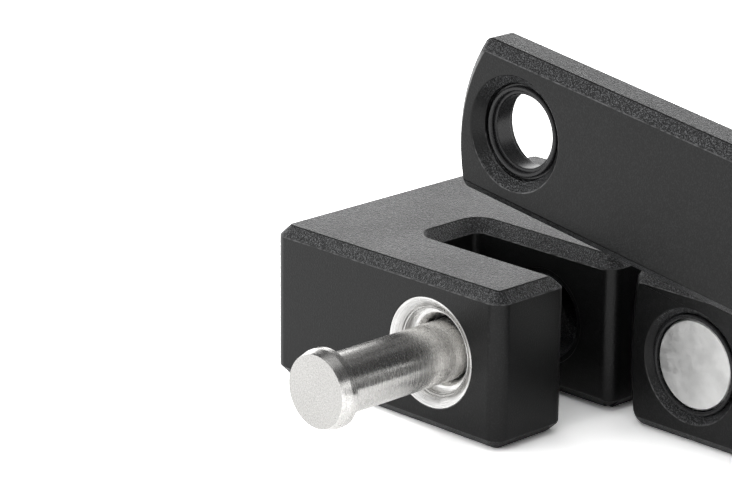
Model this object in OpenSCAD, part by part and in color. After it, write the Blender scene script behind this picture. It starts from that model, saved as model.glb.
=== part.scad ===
// Pull-pin swing-bar latch.
// A forked keeper block holds a sliding pull pin.  A flat arm, pivoted on a
// base bar, swings down into the keeper's slot, and the pin passes through the
// arm's eye to lock it.  Stored with the arm a little raised and the pin out.
// +X runs from keeper to pivot, +Y from the front to the mounting face, +Z up.

/* [Bars] */
// Height of the keeper, the arm and the base bar
bar_h = 25; // [24:0.5:30]
// Width of the bevel around the bars
edge_chamfer = 1.7; // [1:0.1:2]

/* [Keeper] */
// Width of the keeper block
keeper_w = 49.2; // [46:0.2:60]
// Depth of the keeper block, front face to mounting face
keeper_d = 60; // [58:1:80]
// Radius of the keeper's upright corners
keeper_corner_r = 2.5; // [2:0.1:4]
// Thickness of the front tine
front_tine = 14.6; // [14.4:0.1:16]
// Width of the slot between the tines
slot_w = 10.65; // [10:0.05:12]
// Length of the slot from its closed end to its mouth
slot_l = 28.75; // [27:0.25:32]
// Width of the bevel around the slot
slot_chamfer = 2; // [1:0.1:2.4]

/* [Pull pin] */
// Diameter of the pin's shaft
pin_d = 9.5; // [9:0.1:9.6]
// Diameter of the pin's head
pin_head_d = 12.4; // [12:0.1:12.5]
// Distance from the keeper's mouth end to the pin's axis
pin_from_mouth = 14.3; // [13:0.1:16]
// Travel of the pin between out and in
pin_travel = 23.4; // [23:0.1:23.4]
// Diameter of the bush's visible rim
bush_rim_d = 17.5; // [17:0.1:18]

/* [Swing arm] */
// Thickness of the arm
arm_t = 8.15; // [8:0.05:8.4]
// Distance from the arm's eye to its pivot
eye_to_pivot = 226.5; // [205:0.5:300]
// Angle of the stored arm above closed, in degrees
raise_angle = 8.12; // [0:0.01:40]
// Angle of the fully open arm above closed, in degrees
open_angle = 98.12; // [90:0.01:110]
// Clear diameter of the arm's eye
eye_d = 11.5; // [11.4:0.1:12]

/* [Base bar] */
// Gap between the keeper and the base bar
bar_gap = 3.5; // [2:0.5:8]
// Distance from the base bar's end to its first anchor
anchor_from_end = 13.35; // [12:0.05:16]
// Distance between the two anchors
anchor_pitch = 150; // [100:5:150]
// Diameter of the anchor barrel's visible face
anchor_d = 14.2; // [14:0.1:14.6]

/* [Hidden] */

$fn = 96;
arc_fn = 48;
eps = 0.01;
through = 1;

axis_z = bar_h / 2;

// Keeper
slot_x = keeper_w - slot_l;
slot_back = front_tine + slot_w;
slot_corner_r = 1.7;
front_mouth_r = 1.6;
rear_mouth_r = 2.5;
insert_r = 6;
insert_l = 14;
insert_spacing = 28;
thread_r = 3.4;
thread_cap = 1;
grub_r = 2.5;
grub_sink = 0.5;
grub_hex_r = 1.5;
grub_hex_depth = 2.2;

// Pull pin: it lies on the bottom of its bush, so its axis is pin_drop low
pin_x = keeper_w - pin_from_mouth;
pin_r = pin_d / 2;
pin_head_r = pin_head_d / 2;
pin_drop = 0.3;
running = 0.05;
guide_r = pin_r + pin_drop + running;
pin_face_y = -23.9;
head_bevel = 0.5;
head_bevel_l = 1.75;
head_l = 2.85;
head_root = 0.25;
pin_tip_y = 13.2;
pin_tip_bevel = 1.2;
clip_y = 9;
clip_t = 1;
clip_r = 5.25;
clip_groove_r = pin_r - 0.6;
clip_slack = 0.05;

// Bushes in the keeper
bush_rim_r = bush_rim_d / 2;
bush_land = 0.25;
bush_flange_l = 3;
bush_body_r = 7.5;
bush_back = front_tine - 0.3;
dish_r = pin_head_r + 0.42;
dish_depth = 1.33;
seat_y = 2.5;
seat_r = 5.8;
guide_y = 3.6;
clip_bore_r = 6.45;
o_ring_r = 0.65;
o_ring_y = 5.7;
o_ring_groove_r = 6.4;
o_ring_groove_l = 1.6;
socket_r = 7.75;
socket_front = slot_back + 0.2;
socket_back = 40;
socket_bore_r = 6.4;
socket_step_y = clip_y + clip_t + pin_travel + 0.6;
socket_floor_y = pin_tip_y + pin_travel + 2;
pin_grub_y = 11.6;
socket_grub_y = 32;

// Swing arm, described in its closed place
arm_front = front_tine + 0.6;
arm_back = arm_front + arm_t;
pivot_x = pin_x + eye_to_pivot;
nose_l = 12.5;
nose_r = 29;
nose_drop = 1.2;
nose_corner_r = 1.5;
sink_r = 9.15;
sink_depth = 1.6;
ring_bore_r = sink_r - sink_depth;
ring_r = ring_bore_r - 0.45;
ring_inner_r = eye_d / 2 + 0.55;
ring_edge = 0.2;
liner_y0 = arm_front + 2.2;
liner_y1 = arm_back - 2.75;
liner_edge = 0.15;

// Pivot
shank_r = 5;
pivot_bush_r = 7;
pivot_recess = 4.3;
bolt_head_y = arm_front + 0.9;
bolt_head_r = 7.4;
bolt_head_l = 2.2;
bolt_hex_r = 3.45;
bolt_hex_depth = 1.5;
bolt_thread_r = 4;
shank_back = 30;
bolt_end = 58.5;
spring_l = 0.65;
spring_t = 0.4;
washer_t = 0.5;
stop_r = 9.3;
stop_pin_r = 1.25;
stop_groove_r = 1.4;
stop_end_gap = 0.15;
stop_groove_depth = 3;
stop_tip_gap = 0.3;
stop_embed = 8;

// Base bar
bar_left = keeper_w + bar_gap;
bar_front = arm_back + 0.8;
bar_right = pivot_x + 14;
bar_end_r = 72;
bar_corner_r = 2.4;
anchor_x = bar_left + anchor_from_end;
anchor_xs = [anchor_x, anchor_x + anchor_pitch];
anchor_r = anchor_d / 2;
anchor_bore_r = 7.95;
anchor_front = bar_front + 0.95;
anchor_ring_front = bar_front + 0.55;
anchor_ring_r = anchor_r + 0.15;
anchor_ring_l = 3.4;
anchor_thread_l = 25;
anchor_edge = 0.3;
anchor_grub_y = 45;
nut_seat = 50;
nut_washer_t = 1.6;
nut_l = 6.8;
nut_across_corners = 15;
nut_pocket_r = 9;
bolt_clear_r = 4.3;

// The row's origin is under the middle of its box
centre_x = bar_right / 2;
centre_y = (keeper_d + pin_face_y) / 2;

module place()
    translate([-centre_x, -centre_y, 0]) children();

// Closed place to stored place
module raised()
    translate([pivot_x, 0, axis_z])
        rotate([0, raise_angle, 0])
            translate([-pivot_x, 0, -axis_z]) children();

// A turned piece on an axis along +Y; points are [radius, y]
module turned(points)
    rotate([-90, 0, 0]) rotate_extrude() polygon(points);

module ring(inner, outer, y0, y1)
    turned([[inner, y0], [outer, y0], [outer, y1], [inner, y1]]);

module bevelled_ring(inner, outer, y0, y1, edge)
    turned([[inner, y0 + edge], [inner + edge, y0], [outer - edge, y0], [outer, y0 + edge],
            [outer, y1 - edge], [outer - edge, y1], [inner + edge, y1], [inner, y1 - edge]]);

module drill(r, y0, y1)
    turned([[0, y0], [r, y0], [r, y1], [0, y1]]);

module at_axis(x)
    translate([x, 0, axis_z]) children();

module at_pin()
    translate([pin_x, 0, axis_z - pin_drop]) children();

module at_anchors()
    for (x = anchor_xs) at_axis(x) children();

// A plate of the 2D outline in X and Z, bevelled on both faces
module bevelled_plate(y0, y1)
    translate([0, y1, 0]) rotate([90, 0, 0]) hull() {
        translate([0, 0, edge_chamfer])
            linear_extrude(y1 - y0 - 2 * edge_chamfer) children();
        linear_extrude(y1 - y0) offset(delta = -edge_chamfer) children();
    }

// Conical sink and straight bore of radius r, cut from the front face y0
module sunk_bore(r, y0, y1)
    turned([[0, y0 - through], [sink_r + through, y0 - through],
            [r, y0 + sink_r - r], [r, y1], [0, y1]]);

module grub_screw(top)
    difference() {
        translate([0, 0, grub_sink]) cylinder(r = grub_r, h = top - grub_sink);
        cylinder(r = grub_hex_r, h = grub_sink + grub_hex_depth, $fn = 6);
    }

module grub_hole()
    translate([0, 0, -through]) cylinder(r = grub_r, h = axis_z);

module keeper_outline()
    translate([keeper_corner_r, keeper_corner_r])
        offset(r = keeper_corner_r, $fn = arc_fn)
            square([keeper_w - 2 * keeper_corner_r, keeper_d - 2 * keeper_corner_r]);

module keeper_blank()
    hull() {
        translate([0, 0, edge_chamfer])
            linear_extrude(bar_h - 2 * edge_chamfer) keeper_outline();
        linear_extrude(bar_h) offset(delta = -edge_chamfer) keeper_outline();
    }

module slot_outline()
    translate([slot_x + slot_corner_r, front_tine + slot_corner_r])
        offset(r = slot_corner_r, $fn = arc_fn)
            square([slot_l + 2 * through, slot_w - 2 * slot_corner_r]);

// Cones that widen from inside the slot and leave it at the bevel's outer edge
module slot_bevel() {
    cone = slot_corner_r + slot_chamfer + through;
    hull()
        for (x = [slot_x + slot_corner_r, keeper_w + cone],
             y = [front_tine + slot_corner_r, slot_back - slot_corner_r])
            translate([x, y, bar_h + through - cone])
                cylinder(r1 = 0, r2 = cone, h = cone, $fn = arc_fn);
}

module slot_cut() {
    translate([0, 0, -through]) linear_extrude(bar_h + 2 * through) slot_outline();
    slot_bevel();
    translate([0, 0, bar_h]) mirror([0, 0, 1]) slot_bevel();
}

// Rounds one tine's upright corner at the slot's mouth to radius r; dir points into the slot
module mouth_corner(y, dir, r) {
    post_y = y - dir * r;
    difference() {
        translate([keeper_w - r, min(post_y, y + dir * eps), -through])
            cube([r + through, r + eps, bar_h + 2 * through]);
        translate([keeper_w - r, post_y, 0])
            rotate_extrude() polygon([[0, 0], [r, edge_chamfer],
                                      [r, bar_h - edge_chamfer], [0, bar_h]]);
    }
}

module keeper_block() color("#26272a")
    difference() {
        keeper_blank();
        slot_cut();
        mouth_corner(front_tine, 1, front_mouth_r);
        mouth_corner(slot_back, -1, rear_mouth_r);
        at_axis(pin_x) {
            drill(bush_rim_r, -through, bush_flange_l);
            drill(bush_body_r, 0, front_tine + through);
            drill(socket_r, slot_back - through, socket_back);
        }
        for (y = [pin_grub_y, socket_grub_y]) translate([pin_x, y, 0]) grub_hole();
        for (side = [-1, 1]) at_axis(keeper_w / 2 + side * insert_spacing / 2)
            drill(insert_r, keeper_d - insert_l, keeper_d + through);
    }

module pin_bush() color("#d9dadb") at_axis(pin_x)
    turned([[bush_rim_r, 0], [bush_rim_r - bush_land, 0], [dish_r, dish_depth], [dish_r, seat_y],
            [seat_r, seat_y], [guide_r, guide_y],
            [guide_r, o_ring_y - o_ring_groove_l / 2],
            [o_ring_groove_r, o_ring_y - o_ring_groove_l / 2],
            [o_ring_groove_r, o_ring_y + o_ring_groove_l / 2],
            [guide_r, o_ring_y + o_ring_groove_l / 2],
            [guide_r, clip_y], [clip_bore_r, clip_y], [clip_bore_r, bush_back],
            [bush_body_r, bush_back], [bush_body_r, bush_flange_l], [bush_rim_r, bush_flange_l]]);

module pin_o_ring() color("#1a1a1a") at_pin()
    translate([0, o_ring_y, 0]) rotate([-90, 0, 0]) rotate_extrude()
        translate([pin_r + running / 2 + o_ring_r, 0]) circle(r = o_ring_r);

module socket_bush() color("#1c1c1e") at_axis(pin_x)
    turned([[0, socket_floor_y], [guide_r, socket_floor_y], [guide_r, socket_step_y + 1],
            [socket_bore_r, socket_step_y], [socket_bore_r, socket_front + 0.6],
            [socket_bore_r + 0.6, socket_front], [socket_r, socket_front],
            [socket_r, socket_back], [0, socket_back]]);

module bush_grub_screws() color("#3a3a3c") {
    translate([pin_x, pin_grub_y, 0]) grub_screw(axis_z - bush_body_r);
    translate([pin_x, socket_grub_y, 0]) grub_screw(axis_z - socket_r);
}

module keeper_inserts() color("#b9bbbe")
    for (side = [-1, 1]) at_axis(keeper_w / 2 + side * insert_spacing / 2)
        difference() {
            drill(insert_r, keeper_d - insert_l, keeper_d);
            drill(thread_r, keeper_d - insert_l + thread_cap, keeper_d + through);
        }

module pull_pin() color("#c9cacc") at_pin()
    turned([[0, pin_face_y], [pin_head_r - head_bevel, pin_face_y],
            [pin_head_r, pin_face_y + head_bevel_l], [pin_head_r, pin_face_y + head_l],
            [pin_r + head_root, pin_face_y + head_l], [pin_r, pin_face_y + head_l + head_root],
            [pin_r, clip_y], [clip_groove_r, clip_y],
            [clip_groove_r, clip_y + clip_t + clip_slack], [pin_r, clip_y + clip_t + clip_slack],
            [pin_r, pin_tip_y - pin_tip_bevel], [pin_r - pin_tip_bevel, pin_tip_y],
            [0, pin_tip_y]]);

module pin_clip() color("#8d8f92") at_pin()
    difference() {
        ring(clip_groove_r, clip_r, clip_y + clip_slack, clip_y + clip_slack + clip_t - eps);
        translate([-clip_groove_r * 0.8, clip_y - through, -clip_r - through])
            cube([clip_groove_r * 1.6, clip_t + 2 * through, clip_r + through]);
    }

// End of a flat bar, curved outwards; dir points from the end into the bar
module curved_end(x, dir, r, l, drop)
    intersection() {
        translate([x + dir * r, axis_z - drop]) circle(r = r, $fn = 2 * $fn);
        translate([dir > 0 ? x : x - l, 0]) square([l, bar_h]);
    }

module arm_outline()
    offset(r = nose_corner_r, $fn = arc_fn) offset(delta = -nose_corner_r) union() {
        curved_end(pin_x - nose_l, 1, nose_r, nose_l, nose_drop);
        translate([pin_x - eps, 0]) square([eye_to_pivot + eps, bar_h]);
        translate([pivot_x, axis_z]) circle(r = axis_z);
    }

// Curved groove that the stop dowel rides in, from closed to open
module stop_groove() {
    half = open_angle / 2 + asin((stop_pin_r + stop_end_gap) / stop_r);
    linear_extrude(stop_groove_depth + through) intersection() {
        difference() {
            circle(r = stop_r + stop_groove_r);
            circle(r = stop_r - stop_groove_r);
        }
        polygon([[0, 0], [bar_h * cos(half), -bar_h * sin(half)], [bar_h, -bar_h],
                 [bar_h, bar_h], [bar_h * cos(half), bar_h * sin(half)]]);
    }
}

module swing_arm() color("#2b2c2f") raised()
    difference() {
        bevelled_plate(arm_front, arm_back) arm_outline();
        at_axis(pin_x) {
            sunk_bore(ring_bore_r, arm_front, arm_back + through);
            translate([0, arm_front + arm_back, 0]) mirror([0, 1, 0])
                sunk_bore(ring_bore_r, arm_front, arm_back);
        }
        at_axis(pivot_x) {
            sunk_bore(ring_bore_r, arm_front, arm_front + pivot_recess);
            drill(pivot_bush_r, arm_front, arm_back + through);
            translate([0, arm_back + through, 0]) rotate([90, 0, 0]) stop_groove();
        }
    }

module arm_rings() color("#1c1c1e") raised() at_axis(pin_x) {
    bevelled_ring(ring_inner_r, ring_r, arm_front + sink_depth, liner_y0, ring_edge);
    bevelled_ring(ring_inner_r, ring_r, liner_y1, arm_back - sink_depth, ring_edge);
}

module arm_liner() color("#2a2a2c") raised() at_axis(pin_x)
    bevelled_ring(eye_d / 2, ring_bore_r, liner_y0, liner_y1, liner_edge);

module pivot_bush() color("#b08d57") raised() at_axis(pivot_x)
    ring(shank_r + running, pivot_bush_r, arm_front + pivot_recess, arm_back);

module pivot_bolt() color("#c4c6c8") at_axis(pivot_x)
    difference() {
        turned([[0, bolt_head_y], [bolt_head_r - 0.3, bolt_head_y],
                [bolt_head_r, bolt_head_y + 0.3], [bolt_head_r, bolt_head_y + bolt_head_l],
                [shank_r, bolt_head_y + bolt_head_l], [shank_r, shank_back],
                [bolt_thread_r, shank_back], [bolt_thread_r, bolt_end - 1],
                [bolt_thread_r - 1, bolt_end], [0, bolt_end]]);
        translate([0, bolt_head_y + bolt_hex_depth, 0]) rotate([90, 0, 0])
            cylinder(r = bolt_hex_r, h = bolt_hex_depth + through, $fn = 6);
    }

module disc_spring() color("#9a9ca0") at_axis(pivot_x) {
    y0 = bolt_head_y + bolt_head_l;
    turned([[shank_r + 0.1, y0], [bolt_head_r - 0.1, y0 + spring_l - spring_t],
            [bolt_head_r - 0.1, y0 + spring_l], [shank_r + 0.1, y0 + spring_t]]);
}

module pressure_washer() color("#b7b9bc") at_axis(pivot_x) {
    y0 = bolt_head_y + bolt_head_l + spring_l;
    ring(shank_r + 0.1, bolt_head_r, y0, y0 + washer_t);
}

module thrust_washer() color("#b08d57") at_axis(pivot_x)
    ring(shank_r + running, stop_r - stop_groove_r - 0.3, arm_back + running, bar_front);

module nut_washer() color("#b7b9bc") at_axis(pivot_x)
    ring(bolt_clear_r, nut_pocket_r - 0.6, nut_seat, nut_seat + nut_washer_t);

module lock_nut() color("#b9bbbe") at_axis(pivot_x)
    difference() {
        translate([0, nut_seat + nut_washer_t + nut_l, 0]) rotate([90, 0, 0])
            cylinder(d = nut_across_corners, h = nut_l, $fn = 6);
        drill(bolt_thread_r, nut_seat, keeper_d);
    }

module at_stop()
    rotate([0, open_angle / 2, 0]) translate([stop_r, 0, 0]) children();

module stop_dowel() color("#c4c6c8") at_axis(pivot_x) at_stop()
    drill(stop_pin_r, arm_back - stop_groove_depth + stop_tip_gap, bar_front + stop_embed);

module bar_outline()
    offset(r = bar_corner_r, $fn = arc_fn) offset(delta = -bar_corner_r) union() {
        curved_end(bar_left, 1, bar_end_r, bar_h, 0);
        curved_end(bar_right, -1, bar_end_r, bar_h, 0);
        translate([bar_left + bar_h - eps, 0])
            square([bar_right - bar_left - 2 * (bar_h - eps), bar_h]);
    }

module base_bar() color("#232427")
    difference() {
        bevelled_plate(bar_front, keeper_d) bar_outline();
        at_anchors() {
            sunk_bore(anchor_bore_r, bar_front, anchor_ring_front + anchor_ring_l);
            drill(anchor_r, bar_front, keeper_d + through);
        }
        for (x = anchor_xs) translate([x, anchor_grub_y, 0]) grub_hole();
        at_axis(pivot_x) {
            drill(shank_r + running, bar_front - through, shank_back);
            drill(bolt_clear_r, bar_front, keeper_d);
            drill(nut_pocket_r, nut_seat, keeper_d + through);
            at_stop() drill(stop_pin_r, bar_front - through, bar_front + stop_embed);
        }
    }

module anchor_rings() color("#1c1c1e") at_anchors()
    bevelled_ring(anchor_ring_r, anchor_bore_r, anchor_ring_front,
                  anchor_ring_front + anchor_ring_l, ring_edge);

module anchor_barrels() color("#c6c7c8") at_anchors()
    difference() {
        turned([[0, anchor_front], [anchor_r - anchor_edge, anchor_front],
                [anchor_r, anchor_front + anchor_edge], [anchor_r, keeper_d], [0, keeper_d]]);
        drill(thread_r, keeper_d - anchor_thread_l, keeper_d + through);
    }

module bar_grub_screws() color("#3a3a3c")
    for (x = anchor_xs) translate([x, anchor_grub_y, 0]) grub_screw(axis_z - anchor_r);

place() keeper_block();
place() pin_bush();
place() pin_o_ring();
place() socket_bush();
place() bush_grub_screws();
place() keeper_inserts();
place() pull_pin();
place() pin_clip();
place() swing_arm();
place() arm_rings();
place() arm_liner();
place() pivot_bush();
place() pivot_bolt();
place() disc_spring();
place() pressure_washer();
place() thrust_washer();
place() lock_nut();
place() nut_washer();
place() stop_dowel();
place() base_bar();
place() anchor_rings();
place() anchor_barrels();
place() bar_grub_screws();
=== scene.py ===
import math

import bmesh
import bpy
from mathutils import Matrix, Vector


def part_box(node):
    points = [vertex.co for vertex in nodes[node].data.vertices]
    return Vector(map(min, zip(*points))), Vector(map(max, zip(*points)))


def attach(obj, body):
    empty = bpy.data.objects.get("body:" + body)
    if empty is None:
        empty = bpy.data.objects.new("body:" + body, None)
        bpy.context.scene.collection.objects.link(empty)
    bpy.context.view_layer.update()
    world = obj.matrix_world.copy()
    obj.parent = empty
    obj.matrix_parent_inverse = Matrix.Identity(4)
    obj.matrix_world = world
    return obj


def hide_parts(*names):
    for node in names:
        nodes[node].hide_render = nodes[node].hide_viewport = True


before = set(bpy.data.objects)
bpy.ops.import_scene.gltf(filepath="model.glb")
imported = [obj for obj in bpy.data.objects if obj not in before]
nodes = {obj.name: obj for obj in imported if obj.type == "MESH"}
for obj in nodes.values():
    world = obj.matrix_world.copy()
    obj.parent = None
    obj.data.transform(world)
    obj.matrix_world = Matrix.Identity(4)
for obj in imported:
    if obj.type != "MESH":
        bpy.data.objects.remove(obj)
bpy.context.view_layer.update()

MM = 0.001

# The camera looks at a point above the keeper's front face. Angles are in degrees, and the lens
# is in millimetres.
CAMERA_AZIMUTH = 45.668
CAMERA_ELEVATION = 17.777
CAMERA_ROLL = 0.4166
CAMERA_DISTANCE = 0.521826
CAMERA_LENS = 167.407
CAMERA_RANGE = (0.01, 100)
AIM_FROM_KEEPER = Vector((20.873, 0, 26.548)) * MM

# Fine rounding of machined edges: its widths, the steps across it, and the angle in degrees
# from which an edge is rounded
BAR_EDGE = 0.15 * MM
SMALL_EDGE = 0.06 * MM
EDGE_STEPS = 2
ROUNDED_FROM = 28
PIN_ROUNDED_FROM = 12

# Clearing up before the rounding: points this near to each other are joined, and faces become one
# where they turn by less than this many degrees. Faces of this many corners are split if need be.
SHORTEST_EDGE = 0.03 * MM
LEVEL_WITHIN = 0.5
SPLIT_FROM = 5

# Weight of large faces in a corner's shading, from 1 to 100
LARGE_FACES_FIRST = 100

# Most of a noise texture's values lie between these
NOISE_LOW = 0.35
NOISE_HIGH = 0.65


# ---------------------------------------------------------------- materials

# Marks round an axis start this far from it
NEXT_TO_AXIS = 0.001 * MM


class Wiring:
    """Adds nodes to a tree by short calls."""

    def __init__(self, tree):
        self.tree = tree

    def node(self, kind, inputs=None, **properties):
        """A new node with its properties set, and its inputs wired or given a number."""
        made = self.tree.nodes.new(kind)
        for name, value in properties.items():
            setattr(made, name, value)
        for key, value in (inputs or {}).items():
            if isinstance(value, bpy.types.NodeSocket):
                self.tree.links.new(value, made.inputs[key])
            else:
                made.inputs[key].default_value = value
        return made

    def math(self, operation, first, second=0.0):
        """The result of a math operation on one or two numbers."""
        return self.node("ShaderNodeMath", {0: first, 1: second}, operation=operation).outputs[0]

    def spread(self, value, low, high, start=NOISE_LOW, end=NOISE_HIGH):
        """A number from low to high as value goes from start to end."""
        inputs = {"Value": value, "From Min": start, "From Max": end, "To Min": low, "To Max": high}
        return self.node("ShaderNodeMapRange", inputs).outputs[0]

    def fade(self, part, low, high):
        """A number from low to high as part goes from 0 to 1."""
        return self.spread(part, low, high, start=0.0, end=1.0)


class Finish(Wiring):
    """A procedural material whose shader's inputs are set by short calls."""

    def __init__(self, name, color, metallic, roughness):
        self.material = bpy.data.materials.new(name)
        self.material.use_nodes = True
        super().__init__(self.material.node_tree)
        self.shader = self.tree.nodes["Principled BSDF"]
        self.set("Base Color", color)
        self.set("Metallic", metallic)
        self.set("Roughness", roughness)
        self.relief = None

    def set(self, socket, value):
        """Gives a shader input a fixed number or colour, or wires a node's output to it."""
        target = self.shader.inputs[socket]
        if isinstance(value, bpy.types.NodeSocket):
            self.tree.links.new(value, target)
        else:
            target.default_value = (*value, 1) if isinstance(value, tuple) else value

    def place(self):
        """A point's place in its object, in metres."""
        return self.node("ShaderNodeTexCoord").outputs["Object"]

    def lean(self, axis):
        """The part of the surface's normal that lies along the object's axis, from -1 to 1."""
        normal = self.node("ShaderNodeTexCoord").outputs["Normal"]
        return self.node("ShaderNodeSeparateXYZ", {0: normal}).outputs[axis]

    def facing(self, axis):
        """How far the surface faces along the object's axis, either way, from 0 to 1."""
        return self.math("ABSOLUTE", self.lean(axis))

    def noise(self, scale, detail=2.0, where=None):
        """Noise from 0 to 1, with about scale blobs in a metre."""
        where = where or self.place()
        texture = self.node("ShaderNodeTexNoise", {"Vector": where, "Scale": scale, "Detail": detail})
        return texture.outputs["Fac"]

    def around(self, name, drift):
        """Coordinates of a turned node, or of twins side by side: distance from its axis, and
        place along it. Marks made with them run round the axis, and change by drift on the way."""
        low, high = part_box(name)
        middle = (low + high) / 2
        apart = (high.x - low.x - high.z + low.z) / 2
        x, y, z = self.node("ShaderNodeSeparateXYZ", {0: self.place()}).outputs
        across = self.math("SUBTRACT", x, middle.x)
        if apart > MM:
            across = self.math("SUBTRACT", self.math("ABSOLUTE", across), apart)
        up = self.math("SUBTRACT", z, middle.z)
        radius = self.math("SQRT", self.math("ADD", self.math("MULTIPLY", across, across),
                                             self.math("MULTIPLY", up, up)))
        side = self.math("DIVIDE", across, self.math("MAXIMUM", radius, NEXT_TO_AXIS))
        side = self.math("MULTIPLY", side, drift)
        return self.node("ShaderNodeCombineXYZ", {0: radius, 1: y, 2: side}).outputs[0]

    def mix(self, value, first, second, start=NOISE_LOW, end=NOISE_HIGH):
        """A colour from first to second as value goes from start to end."""
        ramp = self.node("ShaderNodeValToRGB", {"Fac": value})
        for stop, place, color in zip(ramp.color_ramp.elements, (start, end), (first, second)):
            stop.position = place
            stop.color = (*color, 1)
        return ramp.outputs["Color"]

    def scaled(self, color, factor):
        """The colour, lighter or darker by a factor."""
        return self.node("ShaderNodeVectorMath", {0: color, "Scale": factor}, operation="SCALE").outputs[0]

    def bump(self, height, depth, strength=1.0):
        """Adds relief of that depth in metres to the surface."""
        inputs = {"Height": height, "Distance": depth, "Strength": strength}
        if self.relief:
            inputs["Normal"] = self.relief
        self.relief = self.node("ShaderNodeBump", inputs).outputs[0]
        self.set("Normal", self.relief)


def blasted_black():
    """Bead-blasted and black anodised aluminium. Its grain is painted as light specks on faces that look
    up or down,
    and hardly on upright ones: partly the blasted grain, partly painted glints of light on level faces."""
    pit = (0.0026, 0.0027, 0.0028)
    # The specks' light colour is partly the grain and partly a painted glint
    lit_speck = (0.1, 0.102, 0.105)
    finish = Finish("blasted_black", color=(0.004, 0.004, 0.004), metallic=0.0, roughness=0.34)
    grain = finish.noise(scale=4700, detail=0.5)
    level = finish.spread(finish.facing("Z"), low=0.08, high=1.0, start=0.3, end=0.65)
    shine = finish.spread(grain, low=0.12, high=1.0, start=0.48, end=0.74)
    # Painted glints: the grain's specks turn light only on faces that look up or down, where light catches
    # them
    lit_specks = finish.math("MULTIPLY", shine, level)
    finish.set("Base Color", finish.mix(lit_specks, pit, lit_speck, start=0.0, end=1.0))
    finish.set("Roughness", finish.spread(finish.noise(scale=70), low=0.3, high=0.36))
    finish.set("IOR", 1.345)
    relief = finish.spread(level, low=0.12, high=1.0, start=0.08, end=1.0)
    finish.bump(grain, depth=0.3 * MM, strength=relief)
    return finish.material


def worn_and_highlit_edge():
    """Edges of the blasted bars: dark, but lighter where they lean partly up, partly worn anodising and
    partly a painted highlight.
    """
    dark = (0.003, 0.003, 0.003)
    # The light edge colour is partly bare worn metal and partly a painted highlight
    rubbed_and_lit = (0.085, 0.085, 0.087)
    finish = Finish("worn_and_highlit_edge", color=(0.03, 0.03, 0.03), metallic=0.0, roughness=0.35)
    # Painted highlight: the light colour goes only on edges that lean partly up, where light catches them,
    # in patches of real worn anodising
    up = finish.lean("Z")
    highlit_leans = finish.math("MULTIPLY", finish.spread(up, low=0.0, high=1.0, start=0.1, end=0.3),
                        finish.spread(up, low=1.0, high=0.0, start=0.6, end=0.85))
    patches = finish.spread(finish.noise(scale=1300, detail=3.0), low=0.2, high=1.0)
    wear_and_highlight = finish.math("MULTIPLY", patches, highlit_leans)
    finish.set("Base Color", finish.mix(wear_and_highlight, dark, rubbed_and_lit, start=0.0, end=1.0))
    finish.set("Roughness", finish.fade(wear_and_highlight, low=0.3, high=0.45))
    finish.set("IOR", 1.36)
    return finish.material


def black_oxide():
    """Smooth machined steel, blackened."""
    dark = (0.008, 0.008, 0.0085)
    light = (0.018, 0.018, 0.019)
    finish = Finish("black_oxide", color=(0.012, 0.012, 0.012), metallic=0.0, roughness=0.3)
    marks = finish.noise(scale=9000, detail=1.0)
    finish.set("Base Color", finish.mix(marks, dark, light))
    finish.set("Roughness", finish.spread(marks, low=0.24, high=0.34))
    finish.set("IOR", 1.4)
    finish.bump(marks, depth=0.01 * MM, strength=0.5)
    return finish.material


def turned_steel(name):
    """Stainless steel fresh from the lathe, with fine marks round the axis."""
    dull = (0.66, 0.655, 0.645)
    bright = (0.86, 0.855, 0.845)
    finish = Finish("turned_steel_" + name, color=(0.8, 0.79, 0.77), metallic=1.0, roughness=0.28)
    marks = finish.noise(scale=7000, where=finish.around(name, drift=0.6 * MM))
    finish.set("Base Color", finish.mix(marks, dull, bright))
    finish.set("Roughness", finish.spread(finish.noise(scale=500, detail=3.0), low=0.22, high=0.34))
    finish.bump(marks, depth=0.012 * MM, strength=0.6)
    return finish.material


def ground_steel(name):
    """Ground and handled pin stock. Its fine grain round the axis draws reflections out along
    it, and its end faces are frosted and duller."""
    dark = (0.68, 0.67, 0.653)
    light = (0.96, 0.948, 0.926)
    finish = Finish("ground_steel_" + name, color=(0.6, 0.59, 0.57), metallic=1.0, roughness=0.45)
    grain = finish.noise(scale=4200, detail=4.0, where=finish.around(name, drift=1.5 * MM))
    frost = finish.noise(scale=4600, detail=3.0)
    ends = finish.spread(finish.facing("Y"), low=0.0, high=1.0, start=0.85, end=0.97)
    dulled = finish.fade(ends, low=1.0, high=0.6)
    finish.set("Base Color", finish.scaled(finish.mix(frost, dark, light), dulled))
    finish.set("Roughness", finish.spread(grain, low=0.22, high=0.3))
    finish.set("Anisotropic", 0.8)
    finish.set("Anisotropic Rotation", 0.25)
    tangent = finish.node("ShaderNodeTangent", direction_type="RADIAL", axis="Y")
    finish.set("Tangent", tangent.outputs[0])
    finish.bump(grain, depth=0.02 * MM, strength=finish.fade(ends, low=0.8, high=0.1))
    finish.bump(frost, depth=0.03 * MM, strength=finish.fade(ends, low=0.3, high=1.0))
    return finish.material


def satin_steel(name):
    """Faced stainless steel, rubbed satin and smudged by handling."""
    smudged = (0.8, 0.8, 0.79)
    clean = (0.97, 0.97, 0.96)
    finish = Finish("satin_steel_" + name, color=(0.7, 0.7, 0.69), metallic=1.0, roughness=0.45)
    finish.set("Base Color", finish.mix(finish.noise(scale=300, detail=6.0), smudged, clean))
    finish.set("Roughness", finish.spread(finish.noise(scale=900, detail=4.0), low=0.36, high=0.5))
    finish.bump(finish.noise(scale=3000, detail=4.0), depth=0.02 * MM, strength=0.6)
    rings = finish.noise(scale=5000, where=finish.around(name, drift=3 * MM))
    finish.bump(rings, depth=0.006 * MM, strength=0.5)
    return finish.material


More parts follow.
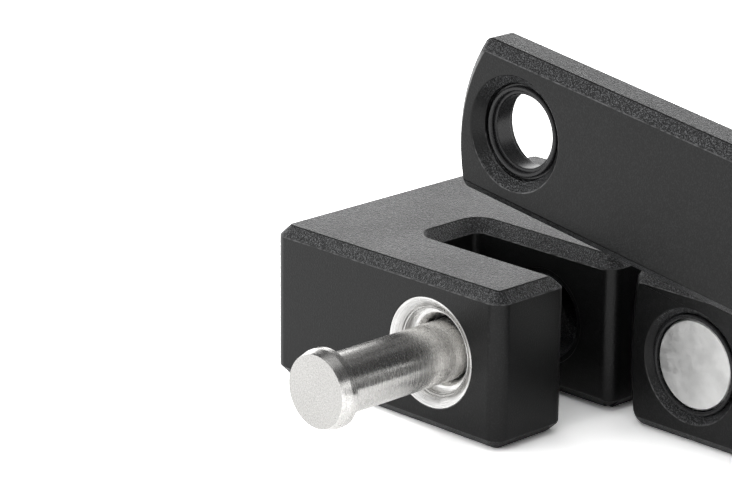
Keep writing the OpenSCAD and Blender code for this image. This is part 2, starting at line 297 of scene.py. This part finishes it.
def sintered_bronze():
    """Oil-filled bearing bronze, finely porous."""
    pore = (0.32, 0.2, 0.1)
    bronze = (0.6, 0.43, 0.24)
    finish = Finish("sintered_bronze", color=(0.55, 0.38, 0.2), metallic=1.0, roughness=0.4)
    pores = finish.noise(scale=6000)
    finish.set("Base Color", finish.mix(pores, pore, bronze))
    finish.set("Roughness", finish.spread(pores, low=0.35, high=0.55))
    finish.bump(pores, depth=0.02 * MM, strength=0.5)
    return finish.material


def nitrile_rubber():
    """Matt black rubber with a faint bloom."""
    black = (0.014, 0.014, 0.014)
    bloomed = (0.03, 0.03, 0.03)
    finish = Finish("nitrile_rubber", color=(0.02, 0.02, 0.02), metallic=0.0, roughness=0.6)
    bloom = finish.noise(scale=900, detail=3.0)
    finish.set("Base Color", finish.mix(bloom, black, bloomed))
    finish.set("Roughness", finish.spread(bloom, low=0.5, high=0.7))
    finish.bump(finish.noise(scale=8000, detail=1.0), depth=0.01 * MM, strength=0.4)
    return finish.material


BLASTED = blasted_black()
WORN_AND_HIGHLIT = worn_and_highlit_edge()
OXIDE = black_oxide()
BRONZE = sintered_bronze()
NITRILE = nitrile_rubber()


# ----------------------------------------------------------- dressed CAD nodes

def dress(name, material, edge, edge_material=None, rounded_from=ROUNDED_FROM, split=False):
    """Gives a CAD node its finish, even shading, and finely rounded edges where it turns by
    that many degrees or more. Split keeps a face open round a curved groove in it."""
    node = nodes[name]
    node.data.materials.clear()
    node.data.materials.append(material)
    weld = node.modifiers.new("weld", "WELD")
    weld.merge_threshold = SHORTEST_EDGE
    flat = node.modifiers.new("flat", "DECIMATE")
    flat.decimate_type = "DISSOLVE"
    flat.angle_limit = math.radians(LEVEL_WITHIN)
    if split:
        node.modifiers.new("split", "TRIANGULATE").min_vertices = SPLIT_FROM
    bevel = node.modifiers.new("edges", "BEVEL")
    bevel.width = edge
    bevel.segments = EDGE_STEPS
    bevel.use_clamp_overlap = False
    bevel.limit_method = "ANGLE"
    bevel.angle_limit = math.radians(rounded_from)
    if edge_material:
        node.data.materials.append(edge_material)
        bevel.material = 1
    shade = node.modifiers.new("shade", "WEIGHTED_NORMAL")
    shade.weight = LARGE_FACES_FIRST


for name in ("keeper_block", "base_bar"):
    dress(name, BLASTED, BAR_EDGE, WORN_AND_HIGHLIT)
dress("swing_arm", BLASTED, BAR_EDGE, WORN_AND_HIGHLIT, split=True)
for name in ("arm_rings", "arm_liner", "anchor_rings", "pin_clip", "disc_spring",
             "bush_grub_screws", "bar_grub_screws"):
    dress(name, OXIDE, SMALL_EDGE)
dress("socket_bush", BLASTED, SMALL_EDGE)
for name in ("pivot_bolt", "pressure_washer", "nut_washer", "lock_nut", "stop_dowel"):
    dress(name, turned_steel(name), SMALL_EDGE)
for name in ("pivot_bush", "thrust_washer"):
    dress(name, BRONZE, SMALL_EDGE)
dress("pull_pin", ground_steel("pull_pin"), SMALL_EDGE, rounded_from=PIN_ROUNDED_FROM)
dress("pin_o_ring", NITRILE, SMALL_EDGE)


# --------------------------------------------------------------- turned pieces

# Steps round a turned piece, and the angle in degrees up to which its shading is smooth
LATHE_STEPS = 128
SMOOTH_ANGLE = 35

# A corner may be cut back by this part of its sides at most
LONGEST_CUT = 0.45

# The metric thread in the inserts and barrels, with its radius at the crests and at the roots.
# Its depth between them, 0 at a crest and 1 at a root, is a wave times FLANK_SLOPE, less
# CREST_FLAT, held between 0 and 1.
CREST_R = 3.4 * MM
ROOT_R = 4.0 * MM
PITCH = 1.25 * MM
FLANK_SLOPE = 1.5
CREST_FLAT = 0.25
ROWS_IN_PITCH = 8
MOUTH_R = 4.3 * MM
TURNED_EDGE = 0.25 * MM
INSERT_HOLE = 13 * MM
BARREL_HOLE = 25 * MM


def eased(profile, edge):
    """The closed profile of (radius, y) points with each corner cut back by edge."""
    points = []
    for before, here, after in zip(profile[-1:] + profile[:-1], profile, profile[1:] + profile[:1]):
        here = Vector(here)
        for other in (before, after):
            way = Vector(other) - here
            points.append(here + way * min(edge / way.length, LONGEST_CUT))
    return points


def turn(mesh, x, z, loops, closed):
    """Adds the surface through loops of (radius, y), one pair for each step round the axis."""
    rings = []
    for loop in loops:
        ring = []
        for step, (radius, y) in enumerate(loop):
            angle = 2 * math.pi * step / LATHE_STEPS
            ring.append(mesh.verts.new((x + radius * math.cos(angle), y, z + radius * math.sin(angle))))
        rings.append(ring)
    for first, second in zip(rings, rings[1:] + rings[:1] if closed else rings[1:]):
        for step in range(LATHE_STEPS):
            after = (step + 1) % LATHE_STEPS
            mesh.faces.new((first[step], second[step], second[after], first[after]))
    return rings


def cap(mesh, ring, x, y, z):
    """Closes the hole inside the ring with a cone to that point of the axis."""
    tip = mesh.verts.new((x, y, z))
    for step in range(LATHE_STEPS):
        mesh.faces.new((ring[step], ring[(step + 1) % LATHE_STEPS], tip))


def finish_turned(mesh, name, material):
    """Makes the mesh a smooth piece of the base that stands for the node."""
    bmesh.ops.recalc_face_normals(mesh, faces=mesh.faces)
    made = bpy.data.meshes.new(name + "_turned")
    mesh.to_mesh(made)
    mesh.free()
    made.materials.append(material)
    made.shade_smooth()
    made.set_sharp_from_angle(angle=math.radians(SMOOTH_ANGLE))
    piece = bpy.data.objects.new(name + "_turned", made)
    bpy.context.scene.collection.objects.link(piece)
    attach(piece, "base")
    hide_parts(name)


def thread_radius(depth, length, part):
    """Radius of a thread of that length at that depth and at that part of a turn."""
    wave = abs(((depth / PITCH - part) % 1) * 2 - 1)
    groove = min(max(wave * FLANK_SLOPE - CREST_FLAT, 0), 1)
    fade = min(depth / PITCH, (length - depth) / PITCH, 1)
    return CREST_R + (ROOT_R - CREST_R) * groove * max(fade, 0)


def threaded_twins(name, material, hole):
    """Replaces a node of two plain barrels by two with threads cut that deep in their backs."""
    low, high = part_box(name)
    radius = (high.z - low.z) / 2
    front, back, z = low.y, high.y, low.z + radius
    length = hole - (MOUTH_R - CREST_R)
    rows = int(length / PITCH * ROWS_IN_PITCH)
    mesh = bmesh.new()
    for x in (low.x + radius, high.x - radius):
        outside = ((radius - TURNED_EDGE, front), (radius, front + TURNED_EDGE),
                   (radius, back - TURNED_EDGE), (radius - TURNED_EDGE, back), (MOUTH_R, back))
        loops = [[point] * LATHE_STEPS for point in outside]
        for row in range(rows + 1):
            depth = length * row / rows
            loops.append([(thread_radius(depth, length, step / LATHE_STEPS), back - hole + length - depth)
                          for step in range(LATHE_STEPS)])
        rings = turn(mesh, x, z, loops, closed=False)
        cap(mesh, rings[0], x, front, z)
        cap(mesh, rings[-1], x, back - hole - CREST_R / 2, z)
    finish_turned(mesh, name, material)


# The pin's bush, as radii and as distances behind the keeper's front face
BUSH_RIM_R = 8.5 * MM
BUSH_BODY_R = 7.5 * MM
BUSH_FLANGE = 3 * MM
DISH_R = 6.62 * MM
DISH_DEPTH = 1.33 * MM
SEAT_R = 5.8 * MM
SEAT_DEPTH = 2.5 * MM
GUIDE_R = 5.1 * MM
GUIDE_DEPTH = 3.6 * MM
RING_GROOVE = (4.9 * MM, 6.5 * MM)
CLIP_BORE_R = 6.45 * MM
CLIP_DEPTH = 9 * MM
RUNOUTS = (6.78 * MM, 7.12 * MM)
RUNOUT_WIDTH = 0.14 * MM
RUNOUT_DEPTH = 0.35 * MM
BUSH_EDGE = 0.05 * MM


def dished_bush(name):
    """Replaces the pin's bush by one with the tool's fine runout lines round its dish."""
    low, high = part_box(name)
    outer = (high.z - low.z) / 2
    front, back = low.y, high.y
    slope = DISH_DEPTH / (BUSH_RIM_R - DISH_R)
    profile = [(outer, front), (BUSH_RIM_R, front)]
    for radius in reversed(RUNOUTS):
        for side in (0.5, -0.5):
            at = radius + side * RUNOUT_WIDTH
            dish = front + (BUSH_RIM_R - at) * slope
            cut = (at, dish + RUNOUT_DEPTH)
            profile += [(at, dish), cut] if side > 0 else [cut, (at, dish)]
    bore = [(DISH_R, DISH_DEPTH), (DISH_R, SEAT_DEPTH), (SEAT_R, SEAT_DEPTH), (GUIDE_R, GUIDE_DEPTH),
            (GUIDE_R, RING_GROOVE[0]), (CLIP_BORE_R, RING_GROOVE[0]), (CLIP_BORE_R, RING_GROOVE[1]),
            (GUIDE_R, RING_GROOVE[1]), (GUIDE_R, CLIP_DEPTH), (CLIP_BORE_R, CLIP_DEPTH)]
    profile += [(radius, front + depth) for radius, depth in bore]
    profile += [(CLIP_BORE_R, back), (BUSH_BODY_R, back),
                (BUSH_BODY_R, front + BUSH_FLANGE), (outer, front + BUSH_FLANGE)]
    mesh = bmesh.new()
    loops = [[tuple(point)] * LATHE_STEPS for point in eased(profile, BUSH_EDGE)]
    turn(mesh, (low.x + high.x) / 2, (low.z + high.z) / 2, loops, closed=True)
    finish_turned(mesh, name, turned_steel(name))


threaded_twins("keeper_inserts", turned_steel("keeper_inserts"), INSERT_HOLE)
threaded_twins("anchor_barrels", satin_steel("anchor_barrels"), BARREL_HOLE)
dished_bush("pin_bush")


# ------------------------------------------------------------ stage and light

FLOOR_SIZE = 8.0
FLOOR_GAP = 0.02 * MM

# The camera sees the white table overexposed by this factor
TABLE_WHITE = 0.9
OVEREXPOSED = 1.75

# Levels of the tent's light, each going from low to high as one part of the direction that the
# light comes from goes from start to end. X is 1 at the right, and Y is 1 at the rear.
MATT_ACROSS_X = dict(low=3.2, high=0.3, start=-0.8, end=0.8)
MIRRORED_ACROSS_X = dict(low=1.15, high=0.8, start=-0.5, end=0.7)
MIRRORED_ACROSS_Y = dict(low=1.0, high=1.9, start=-0.2, end=0.6)

# How much of the light front wall polished surfaces mirror, instead of the roof
FRONT_WALL_ACROSS_Y = dict(low=1.0, high=0.0, start=-0.9, end=-0.1)
FRONT_WALL_LEVEL = 1.0

# The roof and walls as (height of the direction from 0, straight down, to 1, straight up; level)
ROOF = [(0.0, 1.0), (0.68, 1.0), (0.76, 0.06), (0.93, 0.06), (1.0, 0.4)]


def make_floor():
    """A white table top that fills the view."""
    material = bpy.data.materials.new("white_table")
    material.use_nodes = True
    tree = material.node_tree
    wiring = Wiring(tree)
    seen = wiring.node("ShaderNodeLightPath").outputs["Is Camera Ray"]
    white = wiring.fade(seen, TABLE_WHITE, TABLE_WHITE * OVEREXPOSED)
    matt = wiring.node("ShaderNodeBsdfDiffuse", {"Color": white})
    tree.links.new(matt.outputs[0], tree.nodes["Material Output"].inputs["Surface"])
    mesh = bpy.data.meshes.new("floor")
    half = FLOOR_SIZE / 2
    outline = ((-half, -half), (half, -half), (half, half), (-half, half))
    corners = [(x, y, -FLOOR_GAP) for x, y in outline]
    mesh.from_pydata(corners, [], [(0, 1, 2, 3)])
    mesh.materials.append(material)
    floor = bpy.data.objects.new("floor", mesh)
    bpy.context.scene.collection.objects.link(floor)


def make_world():
    """A white tent. It lights matt surfaces from the left, and shows polished ones bright walls
    under a dark roof, brighter at the left and the rear, with a light front wall."""
    world = bpy.data.worlds.new("tent")
    world.use_nodes = True
    world.cycles.sampling_method = "NONE"
    tree = world.node_tree
    wiring = Wiring(tree)
    aim = wiring.node("ShaderNodeTexCoord").outputs["Generated"]
    x, y, z = wiring.node("ShaderNodeSeparateXYZ", {0: aim}).outputs
    height = wiring.spread(z, low=0.0, high=1.0, start=-1.0, end=1.0)
    roof = wiring.node("ShaderNodeValToRGB", {"Fac": height})
    stops = roof.color_ramp.elements
    for place, _ in ROOF[len(stops):]:
        stops.new(place)
    for stop, (place, level) in zip(stops, ROOF):
        stop.position = place
        stop.color = (level, level, level, 1)
    front_wall = wiring.spread(y, **FRONT_WALL_ACROSS_Y)
    mirrored = wiring.fade(front_wall, roof.outputs["Color"], FRONT_WALL_LEVEL)
    mirrored = wiring.math("MULTIPLY", mirrored, wiring.spread(x, **MIRRORED_ACROSS_X))
    mirrored = wiring.math("MULTIPLY", mirrored, wiring.spread(y, **MIRRORED_ACROSS_Y))
    path = wiring.node("ShaderNodeLightPath").outputs
    matt = wiring.math("MULTIPLY", path["Is Diffuse Ray"], wiring.spread(x, **MATT_ACROSS_X))
    glossy = wiring.math("MULTIPLY", path["Is Glossy Ray"], mirrored)
    total = wiring.math("ADD", wiring.math("ADD", path["Is Camera Ray"], matt), glossy)
    tree.links.new(total, tree.nodes["Background"].inputs["Color"])
    bpy.context.scene.world = world


def direction(azimuth, elevation):
    """The unit vector towards a viewer; azimuth 0 is in front, on the -Y side."""
    swing, lift = math.radians(azimuth), math.radians(elevation)
    return Vector((math.sin(swing) * math.cos(lift), -math.cos(swing) * math.cos(lift), math.sin(lift)))


def make_camera():
    """The camera, held a little askew."""
    data = bpy.data.cameras.new("camera")
    data.lens = CAMERA_LENS
    data.clip_start, data.clip_end = CAMERA_RANGE
    camera = bpy.data.objects.new("camera", data)
    bpy.context.scene.collection.objects.link(camera)
    swing = Matrix.Rotation(math.radians(CAMERA_AZIMUTH), 3, "Z")
    tilt = Matrix.Rotation(math.radians(90 - CAMERA_ELEVATION), 3, "X")
    roll = Matrix.Rotation(math.radians(CAMERA_ROLL), 3, "Z")
    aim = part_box("keeper_block")[0] + AIM_FROM_KEEPER
    spot = aim + direction(CAMERA_AZIMUTH, CAMERA_ELEVATION) * CAMERA_DISTANCE
    camera.matrix_world = Matrix.Translation(spot) @ (swing @ tilt @ roll).to_4x4()
    bpy.context.scene.camera = camera


make_floor()
make_world()
make_camera()
bpy.context.scene.view_settings.view_transform = "Standard"
